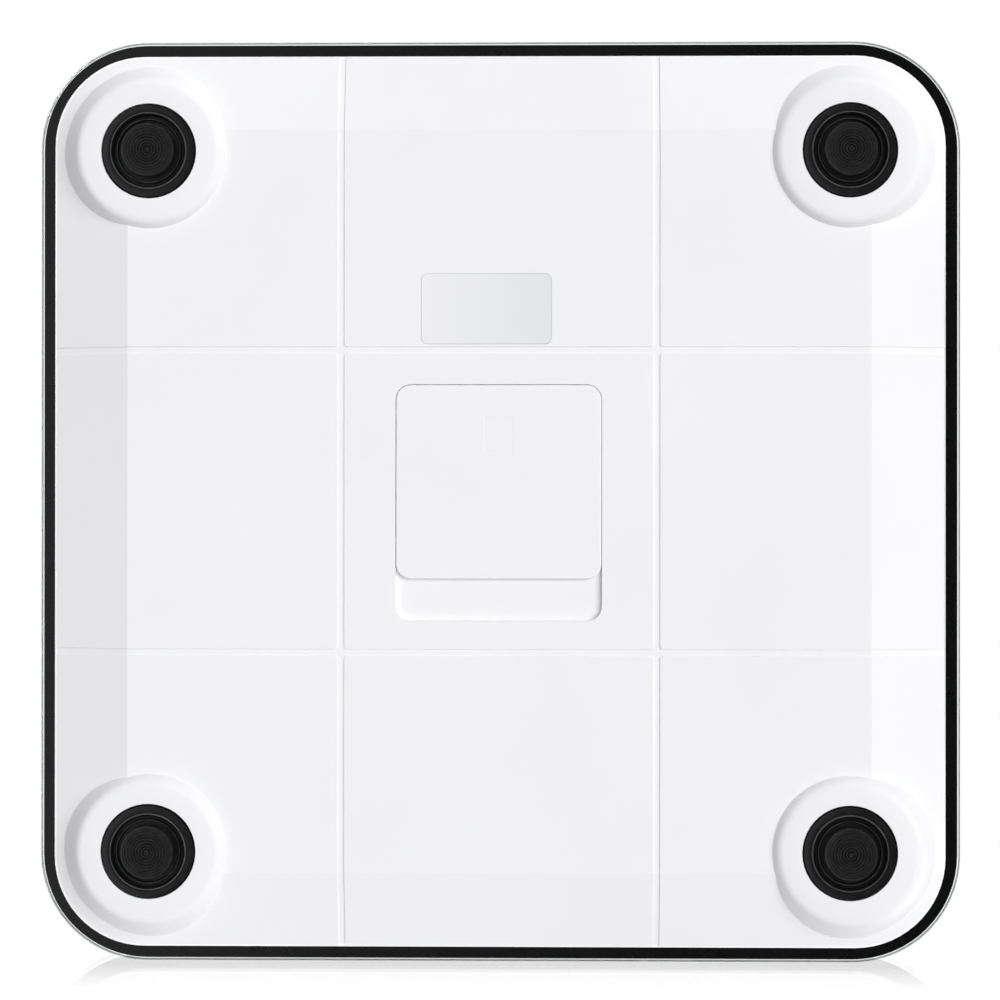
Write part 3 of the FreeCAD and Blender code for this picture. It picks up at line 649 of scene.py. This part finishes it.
labelFilm = newPiece("labelFilm", makeLabel(), [labelSilver, labelEdge], "housing", label["sharp"])
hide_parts("label_sticker")
print("stage: label made")


# electrodes: four brushed plates with rolled edges, each on its stud

electrode = {"length": 80 * mm, "width": 50 * mm, "corner": 20 * mm, "thickness": 0.5 * mm,
             "edge": 0.2 * mm, "studRadius": 2.3 * mm, "studShift": 10 * mm, "steps": 16, "studSteps": 24,
             "sharp": 30}


def makeElectrodes():
    low, high = boxOf("electrodes")[:2]
    top = high.z
    base = top - electrode["thickness"]
    length = electrode["length"]
    width = electrode["width"]
    edge = electrode["edge"]
    radius = electrode["corner"]
    bm = bmesh.new()
    for sideX in (-1, 1):
        for sideY in (-1, 1):
            x = sideX * (high.x - length / 2)
            y = sideY * (high.y - width / 2)
            loftSlab(bm, (x, y), electrode["steps"], [
                (length, width, radius, base),
                (length, width, radius, top - edge),
                (length - 2 * arris * edge, width - 2 * arris * edge, radius - arris * edge,
                 top - arris * edge),
                (length - 2 * edge, width - 2 * edge, radius - edge, top),
            ])
            spinProfile(bm, [(0, low.z), (electrode["studRadius"], low.z),
                             (electrode["studRadius"], base), (0, base)],
                        (x - sideX * electrode["studShift"], y, 0), (0, 0, 1), electrode["studSteps"])
    return bm


electrodePlates = newPiece("electrodePlates", makeElectrodes(), [stainless], "housing",
                           electrode["sharp"])
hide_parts("electrodes")
dressNode(tinnedBrass, "electrode_terminals")
print("stage: electrodes made")


# display: two glasses, a polariser and the resting digits, seen through the window

display = {"stepBack": 2 * mm, "film": 0.12 * mm, "digitHeight": 17 * mm, "digitWidth": 9 * mm,
           "stroke": 1.9 * mm, "gap": 0.25 * mm, "pitch": 13 * mm, "lean": 0.08, "point": 0.42,
           "segmentRise": 0.04 * mm, "corner": 0.3 * mm, "steps": 2, "sharp": 30}


def lcdPolariser():
    # reflective polariser: grey-green and matt, slightly cloudy
    material, tree, shader, place = newMaterial("greyGreenPolariser", {"IOR": 1.5})
    cloud = addNode(tree, "ShaderNodeTexNoise", None, {"Vector": place, "Scale": 1 / (14 * mm)})
    colour = addNode(tree, "ShaderNodeMix", {"data_type": "RGBA"},
                     {0: cloud.outputs["Fac"], 6: hexColour("#8F978A"), 7: hexColour("#A3AB9C")})
    rough = addNode(tree, "ShaderNodeMapRange", None,
                    {"Value": cloud.outputs["Fac"], "To Min": 0.3, "To Max": 0.42})
    tree.links.new(colour.outputs[2], shader.inputs["Base Color"])
    tree.links.new(rough.outputs[0], shader.inputs["Roughness"])
    return material


def lcdDigit():
    # resting segment of the liquid crystal: a shade darker than the polariser
    material, tree, shader, place = newMaterial("restingSegment", {"IOR": 1.5})
    cloud = addNode(tree, "ShaderNodeTexNoise", None, {"Vector": place, "Scale": 1 / (6 * mm)})
    colour = addNode(tree, "ShaderNodeMix", {"data_type": "RGBA"},
                     {0: cloud.outputs["Fac"], 6: hexColour("#7F877B"), 7: hexColour("#8A9285")})
    tree.links.new(colour.outputs[2], shader.inputs["Base Color"])
    shader.inputs["Roughness"].default_value = 0.4
    return material


def lcdGlass():
    # thin sheet glass of the cell: dark at its edge, with the seal showing through
    material, tree, shader, place = newMaterial("lcdSheetGlass", {"IOR": 1.52, "Roughness": 0.08})
    seal = addNode(tree, "ShaderNodeTexNoise", None, {"Vector": place, "Scale": 1 / (5 * mm)})
    colour = addNode(tree, "ShaderNodeMix", {"data_type": "RGBA"},
                     {0: seal.outputs["Fac"], 6: hexColour("#3E4541"), 7: hexColour("#515A55")})
    tree.links.new(colour.outputs[2], shader.inputs["Base Color"])
    return material


def makeDisplay():
    low, high, middle = boxOf("display_panel")
    length = high.x - low.x
    width = high.y - low.y
    back = display["stepBack"]
    split = (low.z + high.z) / 2
    filmLow = high.z - display["film"]
    corner = display["corner"]
    steps = display["steps"]
    bm = bmesh.new()
    loftSlab(bm, middle, steps, [(length, width, corner, low.z), (length, width, corner, split)])
    loftSlab(bm, middle, steps, [(length, width - 2 * back, corner, split),
                                 (length, width - 2 * back, corner, filmLow)])
    known = set(bm.faces)
    filmTop = high.z - display["segmentRise"]
    loftSlab(bm, middle, steps, [(length - back, width - 3 * back, corner, filmLow),
                                 (length - back, width - 3 * back, corner, filmTop)])
    for face in bm.faces:
        face.material_index = 0 if face in known else 1
    known = set(bm.faces)
    tall = display["digitHeight"] / 2
    wide = display["digitWidth"]
    stroke = display["stroke"]
    span = wide - stroke - display["gap"]
    rise = tall - stroke / 2 - display["gap"]
    # place across and up in the digit, in half widths and half heights, and whether the bar lies flat
    bars = [(0, -1, True), (0, 0, True), (0, 1, True),
            (-1, -0.5, False), (1, -0.5, False), (-1, 0.5, False), (1, 0.5, False)]
    for place in (-1.5, -0.5, 0.5, 1.5):  # four digits about the middle, in pitches
        for across, up, flat in bars:
            x = place * display["pitch"] + across * (wide - stroke) / 2
            y = up * (tall - stroke / 2)
            size = (span, stroke) if flat else (stroke, rise)
            fresh = set(bm.verts)
            spot = Matrix.Translation((middle.x, middle.y, high.z)) @ Matrix.Translation((x, y, 0))
            made = bmesh.ops.create_grid(bm, x_segments=1, y_segments=1, size=0.5,
                                         matrix=spot @ Matrix.Diagonal((*size, 1, 1)))
            bmesh.ops.bevel(bm, geom=made["verts"], offset=stroke * display["point"], affect="VERTICES",
                            segments=1, profile=0.5, material=-1)
            for vert in [v for v in bm.verts if v not in fresh]:
                vert.co.x += display["lean"] * (vert.co.y - middle.y)
    segments = [f for f in bm.faces if f not in known]
    grown = bmesh.ops.extrude_face_region(bm, geom=segments)["geom"]
    bmesh.ops.translate(bm, verts=[v for v in grown if isinstance(v, bmesh.types.BMVert)],
                        vec=(0, 0, filmTop - high.z))
    for face in bm.faces:
        if face not in known:
            face.material_index = 2
    bmesh.ops.recalc_face_normals(bm, faces=bm.faces)
    return bm


lcdPanel = newPiece("lcdPanel", makeDisplay(), [lcdGlass(), lcdPolariser(), lcdDigit()], "housing",
                    display["sharp"])
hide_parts("display_panel")
print("stage: display made")


# batteries: crimped cans in plain sleeves

# heights along the cell are in mm
cell = {"steps": 48, "sharp": 35, "sleeveLow": 1.2, "bandLow": 36.5, "sleeveHigh": 42.4}


def cellSleeve(name, deep, pale):
    # printed shrink sleeve over the can: glossy film with fine rub marks
    material, tree, shader, place = newMaterial(name, {"IOR": 1.5})
    rub = addNode(tree, "ShaderNodeTexNoise", None,
                  {"Vector": place, "Scale": 1 / (1.5 * mm), "Detail": 5.0})
    colour = addNode(tree, "ShaderNodeMix", {"data_type": "RGBA"},
                     {0: rub.outputs["Fac"], 6: hexColour(deep), 7: hexColour(pale)})
    rough = addNode(tree, "ShaderNodeMapRange", None,
                    {"Value": rub.outputs["Fac"], "To Min": 0.22, "To Max": 0.38})
    tree.links.new(colour.outputs[2], shader.inputs["Base Color"])
    tree.links.new(rough.outputs[0], shader.inputs["Roughness"])
    return material


def makeCell(number):
    low, high, middle = boxOf("battery_%d" % number)
    nubUp = number % 2 == 1
    start = low.y if nubUp else high.y
    along = 1 if nubUp else -1
    # radius and height in mm, from the base to the nub
    profile = [(0, 0.35), (3.5, 0.35), (3.7, 0.05), (4.0, 0), (4.75, 0), (5.0, 0.15), (5.05, 0.6),
               (5.15, cell["sleeveLow"]), (5.25, cell["sleeveLow"] + 0.1), (5.25, cell["bandLow"]),
               (5.25, cell["sleeveHigh"]), (5.12, cell["sleeveHigh"] + 0.2), (5.0, 43.2), (4.7, 43.5),
               (2.6, 43.55), (2.2, 43.65), (1.95, 43.9), (1.9, 44.35), (1.7, 44.5), (0, 44.5)]
    bm = bmesh.new()
    spinProfile(bm, [(r * mm, h * mm) for r, h in profile], (middle.x, start, middle.z), (0, along, 0),
                cell["steps"])
    for face in bm.faces:
        height = abs(face.calc_center_median().y - start) / mm
        if cell["sleeveLow"] < height < cell["bandLow"]:
            face.material_index = 0
        elif cell["bandLow"] <= height < cell["sleeveHigh"]:
            face.material_index = 1
        else:
            face.material_index = 2
    return bm


sleeves = [cellSleeve("slateSleeve", "#2E3A44", "#384650"), cellSleeve("paleSleeve", "#B9BDC0", "#C9CCCE"),
           nickel]
for number in (1, 2, 3, 4):
    batteryCell = newPiece("batteryCell_%d" % number, makeCell(number), sleeves, "housing", cell["sharp"])
    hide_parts("battery_%d" % number)
dressNode(nickel, "battery_plates", "battery_springs")
print("stage: batteries made")


# works inside the tray

def solderMask():
    # green solder mask over copper tracks, which show as a lighter net
    material, tree, shader, place = newMaterial("greenSolderMask", {"IOR": 1.5, "Roughness": 0.3})
    tracks = addNode(tree, "ShaderNodeTexBrick", {"offset": 0.37}, {
        "Vector": place, "Scale": 1.0, "Color1": hexColour("#14502F"), "Color2": hexColour("#175A35"),
        "Mortar": hexColour("#2C7A4C"), "Mortar Size": 0.25 * mm, "Brick Width": 4.2 * mm,
        "Row Height": 1.4 * mm})
    tree.links.new(tracks.outputs["Color"], shader.inputs["Base Color"])
    return material


def mouldedEpoxy():
    # black epoxy of the chips: flat black with a dusty bloom
    material, tree, shader, place = newMaterial("chipEpoxy", {"IOR": 1.55})
    bloom = addNode(tree, "ShaderNodeTexNoise", None,
                    {"Vector": place, "Scale": 1 / (0.7 * mm), "Detail": 3.0})
    colour = addNode(tree, "ShaderNodeMix", {"data_type": "RGBA"},
                     {0: bloom.outputs["Fac"], 6: hexColour("#151515"), 7: hexColour("#262626")})
    tree.links.new(colour.outputs[2], shader.inputs["Base Color"])
    shader.inputs["Roughness"].default_value = 0.5
    return material


def layeredRubber():
    # contact strip: conducting and insulating layers of silicone, a fine light and dark stripe;
    # the real 0.2 mm is too fine to show, so they are drawn about 1.3 mm apart
    material, tree, shader, place = newMaterial("layeredSilicone", {"IOR": 1.43, "Roughness": 0.6})
    layers = addNode(tree, "ShaderNodeTexWave", {"bands_direction": "X"},
                     {"Vector": place, "Scale": 1 / (4 * mm), "Distortion": 0.2})
    colour = addNode(tree, "ShaderNodeMix", {"data_type": "RGBA"},
                     {0: layers.outputs["Fac"], 6: hexColour("#3A3A3D"), 7: hexColour("#7C7C80")})
    tree.links.new(colour.outputs[2], shader.inputs["Base Color"])
    return material


def leadSheath():
    # soft vinyl insulation: dull red with a waxy sheen
    material, tree, shader, place = newMaterial("softVinylSheath", {"IOR": 1.53})
    wax = addNode(tree, "ShaderNodeTexNoise", None, {"Vector": place, "Scale": 1 / (2 * mm), "Detail": 2.0})
    colour = addNode(tree, "ShaderNodeMix", {"data_type": "RGBA"},
                     {0: wax.outputs["Fac"], 6: hexColour("#8F1F1D"), 7: hexColour("#A32A26")})
    rough = addNode(tree, "ShaderNodeMapRange", None,
                    {"Value": wax.outputs["Fac"], "To Min": 0.38, "To Max": 0.55})
    tree.links.new(colour.outputs[2], shader.inputs["Base Color"])
    tree.links.new(rough.outputs[0], shader.inputs["Roughness"])
    return material


dressNode(solderMask(), "circuit_board")
dressNode(mouldedEpoxy(), "board_parts")
dressNode(layeredRubber(), "zebra_strips")
dressNode(leadSheath(), "load_cell_leads", "electrode_leads", "battery_leads")
dressNode(greyPolycarbonate, "display_frame", *["load_bracket_" + corner for corner in corners])
dressNode(springSteel, *["load_cell_" + corner for corner in corners])
print("stage: inner parts dressed")


# floor, world and lamps

floor = {"level": -0.2 * mm, "half": 4.0, "fadeStart": 0.24, "fadeEnd": 0.7}


def makeFloor():
    # pale studio floor, seen from above only; it keeps the shadow and fades into the background
    side = 2 * floor["half"]
    lay = Matrix.Translation((0, 0, floor["level"])) @ Matrix.Diagonal((side, side, 1, 1))
    studioFloor, tree = newSheet("studioFloor", lay, "paleFloor")
    place = addNode(tree, "ShaderNodeTexCoord").outputs["Object"]
    away = addNode(tree, "ShaderNodeVectorMath", {"operation": "LENGTH"}, {0: place})
    fade = addNode(tree, "ShaderNodeMapRange", {"interpolation_type": "SMOOTHSTEP"},
                   {"Value": away.outputs["Value"], "From Min": floor["fadeStart"],
                    "From Max": floor["fadeEnd"]})
    matt = addNode(tree, "ShaderNodeBsdfDiffuse", None, {"Color": hexColour("#F4F4F4")})
    blank = addNode(tree, "ShaderNodeEmission", None, {"Strength": 1.0})
    surface = addNode(tree, "ShaderNodeMixShader", None,
                      {0: fade.outputs[0], 1: matt.outputs[0], 2: blank.outputs[0]})
    path = addNode(tree, "ShaderNodeLightPath")
    facing = addNode(tree, "ShaderNodeNewGeometry")
    front = addNode(tree, "ShaderNodeMath", {"operation": "SUBTRACT"},
                    {0: 1.0, 1: facing.outputs["Backfacing"]})
    shown = addNode(tree, "ShaderNodeMath", {"operation": "MULTIPLY"},
                    {0: path.outputs["Is Camera Ray"], 1: front.outputs[0]})
    clear = addNode(tree, "ShaderNodeBsdfTransparent")
    final = addNode(tree, "ShaderNodeMixShader", None,
                    {0: shown.outputs[0], 1: clear.outputs[0], 2: surface.outputs[0]})
    addNode(tree, "ShaderNodeOutputMaterial", None, {"Surface": final.outputs[0]})


makeFloor()

ledge = {"half": 160 * mm, "rise": 0.57 * mm, "lowZ": -44 * mm, "highZ": 21.5 * mm,
         "sheen": 0.27, "fadeFrom": 3 * mm, "fadeTo": -43 * mm}


def makeLedge():
    # glossy sheet that the scale stands on edge on; it shows from below only, as a faint mirror
    middle = Vector((0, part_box("back_print")[0].y + ledge["rise"], (ledge["lowZ"] + ledge["highZ"]) / 2))
    size = Matrix.Diagonal((2 * ledge["half"], ledge["highZ"] - ledge["lowZ"], 1, 1))
    stand = Matrix.Translation(middle) @ Matrix.Rotation(math.pi / 2, 4, "X") @ size
    studioLedge, tree = newSheet("studioLedge", stand, "glossyLedge")
    place = addNode(tree, "ShaderNodeSeparateXYZ", None,
                    {0: addNode(tree, "ShaderNodeTexCoord").outputs["Object"]})
    path = addNode(tree, "ShaderNodeLightPath")
    under = addNode(tree, "ShaderNodeMath", {"operation": "LESS_THAN"},
                    {0: place.outputs["Z"], 1: floor["level"]})
    past = addNode(tree, "ShaderNodeMath", {"operation": "GREATER_THAN"},
                   {0: path.outputs["Transparent Depth"], 1: 0.5})
    below = addNode(tree, "ShaderNodeMath", {"operation": "MAXIMUM"},
                    {0: under.outputs[0], 1: past.outputs[0]})
    seen = addNode(tree, "ShaderNodeMath", {"operation": "MULTIPLY"},
                   {0: below.outputs[0], 1: path.outputs["Is Camera Ray"]})
    front = addNode(tree, "ShaderNodeMath", {"operation": "MULTIPLY"},
                    {0: seen.outputs[0], 1: addNode(tree, "ShaderNodeNewGeometry").outputs["Backfacing"]})
    fade = addNode(tree, "ShaderNodeMapRange", None,
                   {"Value": place.outputs["Z"], "From Min": ledge["fadeTo"],
                    "From Max": ledge["fadeFrom"], "To Min": 0.0, "To Max": ledge["sheen"]})
    share = addNode(tree, "ShaderNodeMath", {"operation": "MULTIPLY"},
                    {0: front.outputs[0], 1: fade.outputs[0]})
    mirror = addNode(tree, "ShaderNodeBsdfAnisotropic", None,
                     {"Color": hexColour("#FFFFFF"), "Roughness": 0.0})
    clear = addNode(tree, "ShaderNodeBsdfTransparent")
    final = addNode(tree, "ShaderNodeMixShader", None,
                    {0: share.outputs[0], 1: clear.outputs[0], 2: mirror.outputs[0]})
    addNode(tree, "ShaderNodeOutputMaterial", None, {"Surface": final.outputs[0]})


makeLedge()

studio = {
    "ambientBelow": 0.27, "ambientAbove": 0.62,
    "horizon": (-0.25, 0.05), "overhead": (0.7, 0.95),  # heights of the direction between which each blends
    "darkSide": 0.0, "brightSide": 0.76, "darkFrom": 0.0, "brightFrom": 0.27,  # what gloss sees from below
    "glossLow": 0.72, "glossOverhead": 1.0,  # and from above
    # name, direction to the lamp, strength, spread in degrees
    "lamps": [("keyBelow", (-0.5, 0.16, -1.0), 2.53, 55), ("keyAbove", (-0.3, -0.25, 0.38), 1.7, 30),
              ("rimFar", (0, 1, 0.1), 0.55, 20), ("rimNear", (0, -1, 0.1), 0.65, 20)],
}


def makeWorld():
    world = bpy.data.worlds.new("studioWorld")
    bpy.context.scene.world = world
    world.use_nodes = True
    tree = world.node_tree
    tree.nodes.clear()
    direction = addNode(tree, "ShaderNodeTexCoord").outputs["Generated"]
    parts = addNode(tree, "ShaderNodeSeparateXYZ", None, {0: direction})
    across = addNode(tree, "ShaderNodeMapRange", {"interpolation_type": "SMOOTHSTEP"},
                     {"Value": parts.outputs["X"], "From Min": studio["darkFrom"],
                      "From Max": studio["brightFrom"], "To Min": studio["darkSide"],
                      "To Max": studio["brightSide"]})
    height = addNode(tree, "ShaderNodeMapRange", None,
                     {"Value": parts.outputs["Z"], "From Min": studio["horizon"][0],
                      "From Max": studio["horizon"][1]})
    above = addNode(tree, "ShaderNodeMapRange", {"interpolation_type": "SMOOTHSTEP"},
                    {"Value": parts.outputs["Z"], "From Min": studio["overhead"][0],
                     "From Max": studio["overhead"][1], "To Min": studio["glossLow"],
                     "To Max": studio["glossOverhead"]})
    gloss = addNode(tree, "ShaderNodeMix", {"data_type": "FLOAT"},
                    {0: height.outputs[0], 2: across.outputs[0], 3: above.outputs[0]})
    ambient = addNode(tree, "ShaderNodeMix", {"data_type": "FLOAT"},
                      {0: height.outputs[0], 2: studio["ambientBelow"], 3: studio["ambientAbove"]})
    path = addNode(tree, "ShaderNodeLightPath")
    soft = addNode(tree, "ShaderNodeMix", {"data_type": "FLOAT"},
                   {0: path.outputs["Is Glossy Ray"], 2: ambient.outputs[0], 3: gloss.outputs[0]})
    direct = addNode(tree, "ShaderNodeMath", {"operation": "MAXIMUM"},
                     {0: path.outputs["Is Camera Ray"], 1: path.outputs["Is Transmission Ray"]})
    strength = addNode(tree, "ShaderNodeMix", {"data_type": "FLOAT"},
                       {0: direct.outputs[0], 2: soft.outputs[0], 3: 1.0})
    background = addNode(tree, "ShaderNodeBackground", None,
                         {"Color": hexColour("#FFFFFF"), "Strength": strength.outputs[0]})
    addNode(tree, "ShaderNodeOutputWorld", None, {"Surface": background.outputs[0]})


makeWorld()
for name, towards, strength, spread in studio["lamps"]:
    lampData = bpy.data.lights.new(name, "SUN")
    lampData.energy = strength
    lampData.angle = math.radians(spread)
    lamp = bpy.data.objects.new(name, lampData)
    lamp.visible_glossy = False
    lamp.rotation_euler = (-Vector(towards)).to_track_quat("-Z", "Y").to_euler()
    bpy.context.scene.collection.objects.link(lamp)

bpy.context.scene.view_settings.view_transform = "Standard"
print("stage: studio ready")
